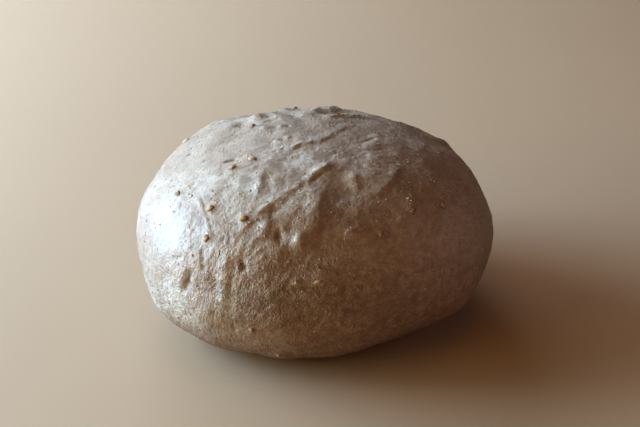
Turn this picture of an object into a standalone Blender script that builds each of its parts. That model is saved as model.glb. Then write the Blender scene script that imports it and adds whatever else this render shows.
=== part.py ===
"""A ball of dark wholemeal bread dough at rest on its own flat foot.

The ball is a cube subdivided and blown up to a squashed dome. Low relief is added along its
outward directions: broad swells, the steps and folds of its skin, and gentle noise. Whole grains
are then fused into the skin, half sunk. Directions on the ball are an azimuth and an elevation in
whole degrees, seen from a middle point at the height of its widest line. Azimuth -90 faces the
front, 0 is the right side, and elevation 90 is the top.
"""

from collections import namedtuple
from math import pi, radians

import bmesh
import bpy
import numpy as np
from mathutils import Matrix, Vector

MM = 0.001

# Driving dimensions of the ball, in metres.
MEAN_RADIUS = 77 * MM
HEIGHT = 83 * MM
BELLY_HEIGHT = 35 * MM

# The ball's own axis stands here, which centres the finished ball's box on the origin.
AXIS_X = -2.2 * MM
AXIS_Y = -0.4 * MM

# Its form: the plan is slightly oval with three weak lobes, and the dome is a superellipse.
OVAL = 0.04
OVAL_TURN = radians(11)
LOBES = 0.029
LOBES_TURN = radians(-6)
DOME_POWER = 2.35

# Below the belly the flank is a quarter ellipse. Its middle stands at this share of the widest
# radius, and its lowest point would be this far below the floor, which cuts it off at the foot.
FLANK_SHARE = 0.478
FLANK_DIP = 2 * MM

# The mesh: cells along each edge of the cube, and sides of a grain by its icosphere's level.
CELLS = 30
GRAIN_LEVEL = 2

# Rounding: a point lower than AT_FLOOR is on the floor, numbers closer than TINY are equal, and
# no division is by less than LEAST.
AT_FLOOR = 0.001 * MM
TINY = 1e-6
LEAST = 1e-12

# The relief dies out over this height above the foot.
FOOT_FADE = 5 * MM

# A broad swell is a bell of this radius and height, both in millimetres. A hollow is negative.
Swell = namedtuple("Swell", "azimuth elevation radius height")
SWELLS = (
    Swell(-165, -2, 14, -1.3),
    Swell(-148, -14, 13, 1.5),
    Swell(-128, -21, 12, 0.9),
    Swell(-114, -24, 8, -0.7),
    Swell(-103, -26, 9, 0.6),
    Swell(-77, -27, 13, 0.9),
    Swell(-50, -24, 14, -1.0),
    Swell(-24, -16, 14, 1.7),
    Swell(5, 13, 13, -1.3),
    Swell(23, 27, 11, 0.5),
    Swell(40, 33, 10, -0.6),
    Swell(72, 42, 13, -0.3),
    Swell(98, 41, 13, -1.0),
    Swell(117, 38, 15, -1.6),
    Swell(134, 33, 10, 0.9),
    Swell(148, 29, 14, 1.3),
    Swell(171, 18, 9, -0.6),
    Swell(102, 33, 6, -0.8),
    Swell(68, 37, 6, 0.9),
    Swell(28, 30, 5, 0.6),
    Swell(14, 22, 7, -0.5),
    Swell(-1, 4, 9, 0.6),
    Swell(-95, 36, 10, 1.0),
    Swell(-72, 42, 8, -1.1),
)

# A fold's crest runs through its way points. Its half width and height are in millimetres, and
# the side on the right of the way along it is narrower, and so steeper, by the share in steep.
Fold = namedtuple("Fold", "way half_width height steep")
FOLDS = (
    Fold(((-111, 32), (-108, 36), (-105, 39)), 2.2, 0.4, 0.5),
    Fold(((-103, 41), (-100, 44), (-96, 48)), 2.2, 0.3, 0.5),
    Fold(((-91, 50), (-86, 53), (-80, 56), (-73, 58)), 2.2, 0.5, 0.5),
    Fold(((-120, 72), (-112, 77), (-90, 79)), 2.2, 0.4, 0.4),
    Fold(((-50, 81), (-14, 80), (14, 76), (26, 71), (32, 66)), 2.4, 0.6, 0.4),
    Fold(((65, 65), (60, 60), (52, 54)), 3.0, 1.0, 0.4),
    Fold(((-93, 24), (-87, 30), (-85, 42)), 3.6, 0.9, 0.4),
    Fold(((38, 37), (31, 33)), 3.0, 0.8, 0.0),
    Fold(((22, 26),), 3.4, 0.9, 0.0),
    Fold(((11, 23),), 2.8, 0.7, 0.0),
    Fold(((-117, 41), (-122, 49)), 2.4, 0.6, 0.3),
    Fold(((-116, 47), (-112, 43)), 2.2, -0.4, 0.0),
    Fold(((-106, 26), (-107, 31), (-108, 34)), 2.4, 0.3, 0.3),
    Fold(((-121, 33), (-133, 44)), 3.2, 0.25, 0.0),
    Fold(((-116, 5), (-117, 10), (-117, 16)), 2.2, 0.4, 0.4),
    Fold(((-130, 4), (-129, 9)), 2.2, -0.4, 0.0),
    Fold(((-132, 5), (-132, 10)), 2.2, 0.3, 0.0),
    Fold(((-121, 8), (-122, 12)), 2.8, -0.35, 0.0),
    Fold(((-112, 15),), 2.2, -0.4, 0.0),
    Fold(((-94, 25),), 2.2, 1.2, 0.0),
    Fold(((-108, 25), (-107, 29)), 2.6, 0.5, 0.0),
    Fold(((-101, 26),), 2.2, -0.4, 0.0),
    Fold(((-62, 45), (-60, 49)), 2.6, 0.7, 0.3),
    Fold(((-54, 39), (-44, 41), (-31, 44)), 2.4, 0.6, 0.3),
    Fold(((4, 57),), 2.8, 0.5, 0.0),
    Fold(((-15, 58),), 2.8, 0.45, 0.0),
    Fold(((-76, 26), (-73, 28), (-70, 28)), 2.2, 0.3, 0.3),
    Fold(((-75, 20),), 2.6, 0.3, 0.0),
)

# The back has folds like the front's, drawn at random between these bounds.
BACK_FOLDS = 26
BACK_SEED = 5
BACK_AZIMUTHS = (30, 165)
BACK_ELEVATIONS = (-8, 62)
BACK_RUNS = (2, 11)
BACK_HALF_WIDTHS = (2.6, 4.2)
BACK_HEIGHTS = (0.6, 1.6)
BACK_HOLLOW_SHARE = 0.35
BACK_STEEP = 0.3

# Gentle noise, as (wavelength, height, seed), both lengths in millimetres. It is stronger on the
# rough side, round this azimuth and elevation, than on the smooth side across from it.
NOISE_LAYERS = ((24, 0.7, 11), (10, 0.5, 12))
NOISE_LATTICE = 24
NOISE_GAIN = 1.6
ROUGH_SIDE = (-130, 50)
SMOOTH_SHARE = 0.35
ROUGH_SLOPE = 0.7

# Grains: length and width in millimetres, and turn in degrees within the skin.
Grain = namedtuple("Grain", "azimuth elevation length width turn")
GRAINS = (
    Grain(159, 59, 4.2, 3.2, 20),
    Grain(-140, 55, 4.6, 3.6, 10),
    Grain(-143, 47, 4.2, 3.0, 70),
    Grain(-152, 28, 3.8, 2.8, 0),
    Grain(-132, 30, 3.8, 3.0, 50),
    Grain(-116, 30, 4.2, 2.8, 20),
    Grain(-127, 21, 3.8, 3.2, 35),
    Grain(-62, 24, 3.4, 2.6, 80),
    Grain(-45, 28, 3.6, 2.6, 20),
    Grain(-31, 25, 3.6, 2.6, 60),
    Grain(-87, 12, 4.4, 2.4, 5),
    Grain(-94, 12, 2.6, 2.2, 90),
    Grain(-101, -19, 3.0, 2.4, 0),
    Grain(-108, -5, 3.0, 2.4, 40),
)
BACK_GRAINS = 10
GRAIN_SEED = 8
GRAIN_LENGTHS = (3.4, 4.8)
GRAIN_ASPECTS = (0.62, 0.8)
GRAIN_ELEVATIONS = (-8, 44)
GRAIN_THICKNESS = 2.6 * MM
GRAIN_SINK = 0.1

DOUGH_COLOUR = (0.30, 0.225, 0.17, 1)
DOUGH_ROUGHNESS = 0.55
GRAIN_COLOUR = (0.42, 0.29, 0.15, 1)
GRAIN_ROUGHNESS = 0.6


def direction(azimuth, elevation):
    """The unit vector, or vectors, of an azimuth and an elevation in degrees."""
    turn, rise = np.radians(azimuth), np.radians(elevation)
    return np.stack(
        [np.cos(turn) * np.cos(rise), np.sin(turn) * np.cos(rise), np.sin(rise)], axis=-1
    )


def plan_radius(directions):
    """The ball's widest radius at each direction's azimuth."""
    turn = np.arctan2(directions[..., 1], directions[..., 0])
    oval = OVAL * np.cos(2 * (turn - OVAL_TURN))
    lobes = LOBES * np.cos(3 * (turn - LOBES_TURN))
    return MEAN_RADIUS * (1 + oval + lobes)


def foot_radius(widest):
    """Where the flank's ellipse meets the floor."""
    fallen = BELLY_HEIGHT / (BELLY_HEIGHT + FLANK_DIP)
    return widest * (FLANK_SHARE + (1 - FLANK_SHARE) * np.sqrt(1 - fallen**2))


def ball_points(directions):
    """Where rays from the middle point leave the plain ball.

    Above the belly the outline is a superellipse. Below it, a quarter ellipse runs in to the rim
    of the foot, and the foot is flat.
    """
    widest = plan_radius(directions)
    across = np.hypot(directions[..., 0], directions[..., 1])
    rise = directions[..., 2]
    dome = HEIGHT - BELLY_HEIGHT
    outwards = (across / widest) ** DOME_POWER
    upwards = (np.maximum(rise, 0) / dome) ** DOME_POWER
    above = (outwards + upwards) ** (-1 / DOME_POWER)

    middle = widest * FLANK_SHARE
    flank = widest - middle
    square = (across / flank) ** 2 + (rise / (BELLY_HEIGHT + FLANK_DIP)) ** 2
    half = across * middle / flank**2
    rest = (middle / flank) ** 2 - 1
    below = (half + np.sqrt(np.maximum(half**2 - square * rest, 0))) / square
    to_floor = BELLY_HEIGHT / np.maximum(-rise, TINY)
    below = np.where(across * to_floor < foot_radius(widest), to_floor, below)

    reach = np.where(rise >= 0, above, below)
    return directions * reach[..., None] + np.array([0, 0, BELLY_HEIGHT])


def outward(points):
    """Unit vectors that point out of the plain ball, taken from two half ellipsoids."""
    offset = points - np.array([0, 0, BELLY_HEIGHT])
    depth = np.where(offset[..., 2] >= 0, HEIGHT - BELLY_HEIGHT, BELLY_HEIGHT)
    spread = np.full(depth.shape, MEAN_RADIUS)
    slope = offset / np.stack([spread, spread, depth], axis=-1) ** 2
    return slope / np.linalg.norm(slope, axis=-1, keepdims=True)


def swell_height(points, swell):
    """A bell of the distance from the swell's middle."""
    middle = ball_points(direction(swell.azimuth, swell.elevation))
    distance = np.linalg.norm(points - middle, axis=-1)
    return swell.height * MM * np.exp(-((distance / (swell.radius * MM)) ** 2))


def fold_height(points, fold):
    """A bell of the distance from the fold's crest line, narrower on its steep side."""
    crest = [ball_points(direction(*place)) for place in fold.way]
    steps = list(zip(crest, crest[1:])) or [(crest[0], crest[0])]
    nearest = np.full(points.shape[:-1], np.inf)
    on_right = np.zeros(points.shape[:-1])
    for start, end in steps:
        along = end - start
        share = ((points - start) @ along) / max(along @ along, LEAST)
        offset = points - start - np.clip(share, 0, 1)[..., None] * along
        distance = np.linalg.norm(offset, axis=-1)
        right = np.cross(along, outward(start))
        side = offset @ right / max(np.linalg.norm(right), LEAST)
        closer = distance < nearest
        on_right = np.where(closer, side / np.maximum(distance, LEAST), on_right)
        nearest = np.minimum(nearest, distance)
    width = fold.half_width * MM * (1 - fold.steep * on_right)
    return fold.height * MM * np.exp(-((nearest / width) ** 2))


def back_folds():
    """Folds of random length, width and height on the side that faces away."""
    draw = np.random.default_rng(BACK_SEED)
    folds = []
    for _ in range(BACK_FOLDS):
        azimuth, elevation = draw.uniform(*BACK_AZIMUTHS), draw.uniform(*BACK_ELEVATIONS)
        heading, run = draw.uniform(0, pi), draw.uniform(*BACK_RUNS)
        end = (azimuth + run * np.cos(heading), elevation + run * np.sin(heading))
        height = draw.uniform(*BACK_HEIGHTS)
        if draw.random() < BACK_HOLLOW_SHARE:
            height = -height
        half_width = draw.uniform(*BACK_HALF_WIDTHS)
        folds.append(Fold(((azimuth, elevation), end), half_width, height, BACK_STEEP))
    return folds


def noise(points, wavelength, seed):
    """Gradient noise of about -1 to 1.

    Each corner of a cubic lattice holds a random slope, and a point blends the heights that the
    slopes of the eight corners round it give there.
    """
    slopes = np.random.default_rng(seed).normal(size=(NOISE_LATTICE,) * 3 + (3,))
    slopes /= np.linalg.norm(slopes, axis=-1, keepdims=True)
    scaled = points / wavelength
    cell = np.floor(scaled).astype(int)
    inside = scaled - cell
    fade = inside**3 * (inside * (inside * 6 - 15) + 10)
    total = np.zeros(points.shape[:-1])
    for corner in np.ndindex(2, 2, 2):
        place = (cell + corner) % NOISE_LATTICE
        slope = slopes[place[..., 0], place[..., 1], place[..., 2]]
        weight = np.prod(np.where(np.array(corner) == 1, fade, 1 - fade), axis=-1)
        total += weight * np.sum((inside - corner) * slope, axis=-1)
    return total * NOISE_GAIN


def roughness(points):
    """From SMOOTH_SHARE on the smooth side to 1 in the middle of the rough side."""
    facing = outward(points) @ direction(*ROUGH_SIDE)
    return SMOOTH_SHARE + (1 - SMOOTH_SHARE) * np.clip(0.5 + ROUGH_SLOPE * facing, 0, 1)


def relief(points):
    """How far the skin stands out of the plain ball at each point."""
    height = sum(swell_height(points, swell) for swell in SWELLS)
    height += sum(fold_height(points, fold) for fold in FOLDS)
    height += sum(fold_height(points, fold) for fold in back_folds())
    for wavelength, size, seed in NOISE_LAYERS:
        height += size * MM * roughness(points) * noise(points, wavelength * MM, seed)
    fade = np.clip(points[..., 2] / FOOT_FADE, 0, 1)
    return height * fade * fade * (3 - 2 * fade)


def skin_points(directions):
    """Points of the finished skin where it stands. Those at the floor are exactly on it."""
    plain = ball_points(directions)
    skin = plain + outward(plain) * relief(plain)[..., None]
    skin[..., 2] = np.where(skin[..., 2] < AT_FLOOR, 0, skin[..., 2])
    return skin + np.array([AXIS_X, AXIS_Y, 0])


def cube_directions(cube):
    """Directions for the points of a subdivided cube from -1 to 1.

    Equal steps on the cube become equal angles. Below the belly the elevations shrink, column by
    column, so that the cube's bottom edges land on the rim of the foot.
    """
    even = np.tan(cube * pi / 4)
    directions = even / np.linalg.norm(even, axis=-1, keepdims=True)
    side = (np.abs(cube[:, :2]).max(axis=-1) > 1 - TINY) & (cube[:, 2] < 0)
    aims = directions[side]
    turn = np.arctan2(aims[:, 1], aims[:, 0])
    lowest = np.arctan2(1, np.hypot(even[side, 0], even[side, 1]))
    rim = np.arctan2(BELLY_HEIGHT, foot_radius(plan_radius(aims)))
    rise = np.arcsin(aims[:, 2]) * rim / lowest
    directions[side] = direction(np.degrees(turn), np.degrees(rise))
    return directions


def material(name, colour, surface_roughness):
    new = bpy.data.materials.new(name)
    new.use_nodes = True
    shader = new.node_tree.nodes["Principled BSDF"]
    shader.inputs["Base Color"].default_value = colour
    shader.inputs["Roughness"].default_value = surface_roughness
    return new


def add_object(name, mesh_data, finish, collection):
    """A new object of a bmesh, which is freed."""
    mesh = bpy.data.meshes.new(name)
    mesh_data.to_mesh(mesh)
    mesh_data.free()
    mesh.materials.append(finish)
    made = bpy.data.objects.new(name, mesh)
    collection.objects.link(made)
    return made


def make_ball(collection):
    """The ball without its grains, with one flat face for its foot."""
    ball = bmesh.new()
    bmesh.ops.create_cube(ball, size=2)
    bmesh.ops.subdivide_edges(ball, edges=ball.edges[:], cuts=CELLS - 1, use_grid_fill=True)
    ball.verts.ensure_lookup_table()
    cube = np.array([vertex.co for vertex in ball.verts])
    for vertex, place in zip(ball.verts, skin_points(cube_directions(cube))):
        vertex.co = place
    foot = [face for face in ball.faces if all(vertex.co.z == 0 for vertex in face.verts)]
    bmesh.ops.dissolve_faces(ball, faces=foot, use_verts=True)
    finish = material("dough", DOUGH_COLOUR, DOUGH_ROUGHNESS)
    return add_object("dough", ball, finish, collection)


def all_grains():
    """The grains placed by hand, then those drawn at random for the side that faces away."""
    draw = np.random.default_rng(GRAIN_SEED)
    grains = list(GRAINS)
    for _ in range(BACK_GRAINS):
        azimuth, elevation = draw.uniform(*BACK_AZIMUTHS), draw.uniform(*GRAIN_ELEVATIONS)
        length = draw.uniform(*GRAIN_LENGTHS)
        width = length * draw.uniform(*GRAIN_ASPECTS)
        grains.append(Grain(azimuth, elevation, length, width, draw.uniform(0, 180)))
    return grains


def make_grain(number, grain, finish, collection):
    """An ellipsoid that lies along the skin and is sunk a little over half its thickness."""
    aim = direction(grain.azimuth, grain.elevation)
    up = Vector(outward(ball_points(aim)))
    place = Vector(skin_points(aim)) - up * GRAIN_SINK * GRAIN_THICKNESS
    lie = up.to_track_quat("Z", "Y").to_matrix().to_4x4()
    turn = Matrix.Rotation(radians(grain.turn), 4, "Z")
    size = Matrix.Diagonal((grain.length * MM, grain.width * MM, GRAIN_THICKNESS, 1))
    body = bmesh.new()
    bmesh.ops.create_icosphere(
        body,
        subdivisions=GRAIN_LEVEL,
        radius=0.5,
        matrix=Matrix.Translation(place) @ lie @ turn @ size,
    )
    return add_object(f"grain_{number}", body, finish, collection)


def fuse(ball, pieces):
    """Joins the pieces of a collection into the ball, then removes them and their collection."""
    union = ball.modifiers.new("grains", "BOOLEAN")
    union.operation = "UNION"
    union.operand_type = "COLLECTION"
    union.collection = pieces
    union.solver = "EXACT"
    union.material_mode = "TRANSFER"
    joined = ball.evaluated_get(bpy.context.evaluated_depsgraph_get())
    plain = ball.data
    mesh = bpy.data.meshes.new_from_object(joined)
    ball.modifiers.clear()
    ball.data = mesh
    bpy.data.meshes.remove(plain)
    mesh.name = ball.name
    mesh.shade_smooth()
    for piece in list(pieces.objects):
        bpy.data.objects.remove(piece)
    bpy.data.collections.remove(pieces)


def main():
    for old in list(bpy.data.objects):
        bpy.data.objects.remove(old)
    bread = bpy.data.collections.new("dark_bread_dough")
    pieces = bpy.data.collections.new("grains")
    bpy.context.scene.collection.children.link(bread)
    bpy.context.scene.collection.children.link(pieces)
    ball = make_ball(bread)
    finish = material("grain", GRAIN_COLOUR, GRAIN_ROUGHNESS)
    for number, grain in enumerate(all_grains()):
        make_grain(number, grain, finish, pieces)
    fuse(ball, pieces)


main()
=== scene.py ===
"""The look of a ball of dark wholemeal bread dough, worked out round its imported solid.

The skin repeats the solid's form and folds, and adds finer folds, wrinkles and pits. Whole grains,
bran flakes and coarse meal lie in it at their true size. Directions on the ball are an azimuth and
an elevation in degrees from a middle point at the height of its widest line. Azimuth -90 faces the
front, 0 is the right side, and elevation 90 is the top.
"""

from collections import namedtuple
from math import cos, pi, radians, sin

import bpy
import numpy as np
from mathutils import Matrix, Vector


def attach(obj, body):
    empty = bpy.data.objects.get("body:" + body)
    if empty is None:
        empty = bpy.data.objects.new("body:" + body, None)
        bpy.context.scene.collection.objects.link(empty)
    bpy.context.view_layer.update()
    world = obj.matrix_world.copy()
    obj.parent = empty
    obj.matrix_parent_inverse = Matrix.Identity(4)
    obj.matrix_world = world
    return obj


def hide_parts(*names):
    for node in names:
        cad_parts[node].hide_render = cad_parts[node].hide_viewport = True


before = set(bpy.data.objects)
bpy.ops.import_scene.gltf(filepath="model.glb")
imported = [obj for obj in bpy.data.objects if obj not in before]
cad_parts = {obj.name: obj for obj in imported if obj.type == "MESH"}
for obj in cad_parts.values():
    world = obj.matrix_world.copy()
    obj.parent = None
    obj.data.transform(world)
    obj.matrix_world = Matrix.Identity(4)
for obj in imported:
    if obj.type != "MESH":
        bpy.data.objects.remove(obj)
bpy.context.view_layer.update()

MM = 0.001

# The ball's own form, in metres, as in the solid.
MEAN_RADIUS = 77 * MM
HEIGHT = 83 * MM
BELLY_HEIGHT = 35 * MM
AXIS_X = -2.2 * MM
AXIS_Y = -0.4 * MM
OVAL = 0.04
OVAL_TURN = radians(11)
LOBES = 0.029
LOBES_TURN = radians(-6)
DOME_POWER = 2.35
FLANK_SHARE = 0.478
FLANK_DIP = 2 * MM
FOOT_FADE = 5 * MM

# A broad swell is a bell of this radius and height, both in millimetres. A hollow is negative.
Swell = namedtuple("Swell", "azimuth elevation radius height")
SWELLS = (
    Swell(-165, -2, 14, -1.3),
    Swell(-148, -14, 13, 1.5),
    Swell(-128, -21, 12, 0.9),
    Swell(-114, -24, 8, -0.7),
    Swell(-103, -26, 9, 0.6),
    Swell(-77, -27, 13, 0.9),
    Swell(-50, -24, 14, -1.0),
    Swell(-24, -16, 14, 1.7),
    Swell(5, 13, 13, -1.3),
    Swell(23, 27, 11, 0.5),
    Swell(40, 33, 10, -0.6),
    Swell(72, 42, 13, -0.3),
    Swell(98, 41, 13, -1.0),
    Swell(117, 38, 15, -1.6),
    Swell(134, 33, 10, 0.9),
    Swell(148, 29, 14, 1.3),
    Swell(171, 18, 9, -0.6),
    Swell(102, 33, 6, -0.8),
    Swell(68, 37, 6, 0.9),
    Swell(28, 30, 5, 0.6),
    Swell(14, 22, 7, -0.5),
    Swell(-1, 4, 9, 0.6),
    Swell(-95, 36, 10, 1.0),
    Swell(-72, 42, 8, -1.1),
)

# A fold's crest runs through its way points. Its half width and height are in millimetres, and
# the side on the right of the way along it is narrower, and so steeper, by the share in steep.
Fold = namedtuple("Fold", "way half_width height steep")
FOLDS = (
    Fold(((-111, 32), (-108, 36), (-105, 39)), 2.2, 0.4, 0.5),
    Fold(((-103, 41), (-100, 44), (-96, 48)), 2.2, 0.3, 0.5),
    Fold(((-91, 50), (-86, 53), (-80, 56), (-73, 58)), 2.2, 0.5, 0.5),
    Fold(((-120, 72), (-112, 77), (-90, 79)), 2.2, 0.4, 0.4),
    Fold(((-50, 81), (-14, 80), (14, 76), (26, 71), (32, 66)), 2.4, 0.6, 0.4),
    Fold(((65, 65), (60, 60), (52, 54)), 3.0, 1.0, 0.4),
    Fold(((-93, 24), (-87, 30), (-85, 42)), 3.6, 0.9, 0.4),
    Fold(((38, 37), (31, 33)), 3.0, 0.8, 0.0),
    Fold(((22, 26),), 3.4, 0.9, 0.0),
    Fold(((11, 23),), 2.8, 0.7, 0.0),
    Fold(((-117, 41), (-122, 49)), 2.4, 0.6, 0.3),
    Fold(((-116, 47), (-112, 43)), 2.2, -0.4, 0.0),
    Fold(((-106, 26), (-107, 31), (-108, 34)), 2.4, 0.3, 0.3),
    Fold(((-121, 33), (-133, 44)), 3.2, 0.25, 0.0),
    Fold(((-116, 5), (-117, 10), (-117, 16)), 2.2, 0.4, 0.4),
    Fold(((-130, 4), (-129, 9)), 2.2, -0.4, 0.0),
    Fold(((-132, 5), (-132, 10)), 2.2, 0.3, 0.0),
    Fold(((-121, 8), (-122, 12)), 2.8, -0.35, 0.0),
    Fold(((-112, 15),), 2.2, -0.4, 0.0),
    Fold(((-94, 25),), 2.2, 1.2, 0.0),
    Fold(((-108, 25), (-107, 29)), 2.6, 0.5, 0.0),
    Fold(((-101, 26),), 2.2, -0.4, 0.0),
    Fold(((-62, 45), (-60, 49)), 2.6, 0.7, 0.3),
    Fold(((-54, 39), (-44, 41), (-31, 44)), 2.4, 0.6, 0.3),
    Fold(((4, 57),), 2.8, 0.5, 0.0),
    Fold(((-15, 58),), 2.8, 0.45, 0.0),
    Fold(((-76, 26), (-73, 28), (-70, 28)), 2.2, 0.3, 0.3),
    Fold(((-75, 20),), 2.6, 0.3, 0.0),
)

# The back has folds like the front's, drawn at random between these bounds.
BACK_FOLDS = 26
BACK_SEED = 5
BACK_AZIMUTHS = (30, 165)
BACK_ELEVATIONS = (-8, 62)
BACK_RUNS = (2, 11)
BACK_HALF_WIDTHS = (2.6, 4.2)
BACK_HEIGHTS = (0.6, 1.6)
BACK_HOLLOW_SHARE = 0.35
BACK_STEEP = 0.3

# Gentle noise, as (wavelength, height, seed), both lengths in millimetres. It is stronger on the
# rough side, round this azimuth and elevation, than on the smooth side across from it. The gain
# brings plain noise to about -1 to 1.
NOISE_LAYERS = ((24, 0.7, 11), (10, 0.5, 12))
NOISE_LATTICE = 24
NOISE_GAIN = 1.6
ROUGH_SIDE = (-130, 50)
ROUGH_SLOPE = 0.7
SMOOTH_SHARE = 0.35

# Finer folds and pits than the solid holds, in the same form.
FINE_FOLDS = (
    Fold(((-126, 23), (-130, 26), (-136, 29), (-141, 31)), 1.1, 0.35, 0.5),
    Fold(((-125, 23), (-129, 26), (-135, 29), (-140, 31)), 0.8, -0.25, 0.0),
    Fold(((-130, 4), (-129.5, 6)), 1.4, -0.75, 0.0),
    Fold(((-129.5, 7), (-129, 10)), 0.9, -0.75, 0.0),
    Fold(((-131, 13), (-131, 14)), 0.7, -0.40, 0.0),
    Fold(((-132, 4), (-131.5, 10)), 1.0, 0.20, 0.0),
    Fold(((-126.5, 17), (-125.5, 15), (-124.5, 12)), 0.9, -0.80, 0.0),
    Fold(((-115, 7), (-115, 15)), 1.0, -0.40, 0.0),
    Fold(((-117.5, 4), (-118, 10), (-117.5, 17)), 1.0, 0.30, 0.3),
    Fold(((-112.5, 17), (-111.5, 14.5)), 1.4, -0.75, 0.0),
    Fold(((-110, 16), (-105, 19)), 0.8, 0.35, 0.3),
    Fold(((-110, 13), (-108, 7)), 0.8, -0.35, 0.0),
    Fold(((-121, 9),), 1.4, -0.30, 0.0),
    Fold(((-111, 33), (-108, 37), (-104, 40)), 1.0, 0.30, 0.5),
    Fold(((-103, 42), (-97, 46), (-93, 50)), 1.0, 0.22, 0.5),
    Fold(((-88, 53), (-82, 56), (-75, 58)), 1.1, 0.35, 0.5),
    Fold(((-106, 34), (-103, 36)), 1.0, -0.45, 0.0),
    Fold(((-101.5, 27), (-100.5, 25)), 1.5, -0.60, 0.0),
    Fold(((-101.5, 38), (-99.5, 40)), 0.9, -0.45, 0.0),
    Fold(((-94, 45),), 0.8, -0.35, 0.0),
    Fold(((-87, 51), (-83, 53)), 1.2, -0.50, 0.0),
    Fold(((-118, 73), (-109, 78), (-90, 79)), 0.9, 0.30, 0.5),
    Fold(((-81, 73),), 1.0, -0.40, 0.0),
    Fold(((-30, 80), (0, 79)), 1.1, 0.20, 0.5),
    Fold(((-14, 80), (14, 76), (26, 71), (32, 66)), 2.0, -0.22, 0.4),
    Fold(((-150, 33),), 0.8, -0.35, 0.0),
    Fold(((-150, 26),), 0.8, -0.35, 0.0),
    Fold(((-146, 26),), 0.7, -0.30, 0.0),
    Fold(((-155, 31),), 0.8, -0.35, 0.0),
    Fold(((-180, 36),), 1.2, -0.80, 0.0),
    Fold(((-144, 42),), 0.9, -0.40, 0.0),
    Fold(((-152, 48), (-152, 50)), 0.9, -0.70, 0.0),
    Fold(((-152, 54),), 0.9, -0.35, 0.0),
    Fold(((-135, 24), (-135, 22)), 0.6, -0.45, 0.0),
    Fold(((-133, 22), (-133, 20)), 0.6, -0.45, 0.0),
    Fold(((-136, 12), (-134, 13)), 0.9, -0.60, 0.0),
    Fold(((-140, 13), (-139, 11)), 0.7, -0.50, 0.0),
    Fold(((-125, 18),), 0.8, -0.35, 0.0),
    Fold(((-121, 22),), 0.8, -0.40, 0.0),
    Fold(((-119, 23), (-118, 21)), 0.8, -0.50, 0.0),
    Fold(((-106, 32),), 0.9, -0.45, 0.0),
    Fold(((-96, 21),), 0.8, -0.40, 0.0),
    Fold(((-103, 15),), 1.3, -0.40, 0.0),
    Fold(((-155, 74),), 1.1, -0.55, 0.0),
    Fold(((-158, 69),), 1.0, -0.45, 0.0),
    Fold(((-134, 65),), 0.9, -0.40, 0.0),
    Fold(((-131, 69),), 0.9, -0.40, 0.0),
    Fold(((-158, 78),), 1.3, 0.40, 0.0),
    Fold(((-128, 81),), 1.4, 0.40, 0.0),
    Fold(((144, 61), (130, 63)), 1.1, -0.50, 0.0),
    Fold(((150, 72),), 1.3, 0.70, 0.0),
    Fold(((140, 75),), 1.0, -0.50, 0.0),
    Fold(((-115, 26), (-113, 29)), 0.8, 0.35, 0.3),
    Fold(((-111, 19), (-109, 24)), 0.8, 0.35, 0.3),
    Fold(((-108, 20), (-105, 22)), 0.8, 0.30, 0.3),
    Fold(((-116, -7), (-116, -2)), 0.9, -0.35, 0.0),
    Fold(((-114, -8), (-114, -4)), 0.9, -0.35, 0.0),
    Fold(((-121, -6), (-120, -1)), 0.9, -0.35, 0.0),
    Fold(((-76, 26), (-73, 28), (-70, 28)), 0.8, 0.50, 0.2),
    Fold(((-68, 33),), 2.2, 0.35, 0.0),
    Fold(((-81, 35),), 1.2, 0.40, 0.0),
    Fold(((-76, 38), (-72, 39)), 1.0, 0.35, 0.0),
    Fold(((-79, 17),), 1.6, 0.35, 0.0),
    Fold(((-92, 9), (-89, 11)), 1.0, 0.30, 0.0),
    Fold(((-103, 9),), 1.1, 0.40, 0.0),
    Fold(((-105, 1),), 1.5, 0.40, 0.0),
    Fold(((-14, 63), (-2, 59)), 1.0, -0.35, 0.0),
    Fold(((-30, 61), (-18, 54)), 1.0, -0.30, 0.0),
    Fold(((60, 63), (50, 57)), 1.2, 0.50, 0.4),
    Fold(((-45, 27),), 1.2, -0.40, 0.0),
    Fold(((-61, 23),), 1.1, -0.40, 0.0),
    Fold(((-23, 21),), 1.1, -0.50, 0.0),
)

# Small lumps and pits in a random cell each, as (cell, half width, height, share that are pits,
# seed). Lengths are in millimetres, and each lump has a share of the height between the sizes.
PIMPLE_LAYERS = ((7.5, 1.6, 0.24, 0.45, 21), (3.6, 0.95, 0.22, 0.5, 22))
PIMPLE_SIZES = (0.2, 1)

# Fine wrinkles: where their middle is, as an azimuth and an elevation, the cosine at which they
# have faded out, the way they run, how much they are stretched along it, and their wavelength and
# height in millimetres.
Wrinkles = namedtuple("Wrinkles", "middle narrowest way stretch wavelength height seed")
WRINKLES = (
    Wrinkles((-124, 2), 0.55, (0.0, 0.0, 1.0), 5.0, 2.2, 0.17, 31),
    Wrinkles((-103, 28), 0.6, (0.72, 0.0, 0.69), 3.5, 2.2, 0.16, 32),
    Wrinkles((-70, 55), 0.6, (0.9, 0.3, 0.3), 3.0, 2.4, 0.10, 35),
    Wrinkles((-165, 20), 0.6, (0.0, 0.0, 1.0), 6.0, 2.6, 0.07, 36),
    Wrinkles((90, 10), 0.0, (0.1, 0.0, 1.0), 4.0, 2.8, 0.15, 33),
    Wrinkles((-50, 10), 0.2, (0.5, 0.1, 0.8), 3.0, 2.8, 0.23, 34),
)

# Finer wrinkles run among them: their shares of the height and the wavelength, and the step from
# one seed to the other.
FINER_HEIGHT = 0.6
FINER_WAVELENGTH = 0.55
FINER_SEED = 100

# The fine folds and wrinkles waver, as (wavelength, reach, seed), and gentle noise lies between
# them, as (wavelength, height, seed).
WAVER = (9.0, 1.0, 41)
CRUMPLE = ((4.4, 0.15, 42), (2.1, 0.16, 43))

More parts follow.
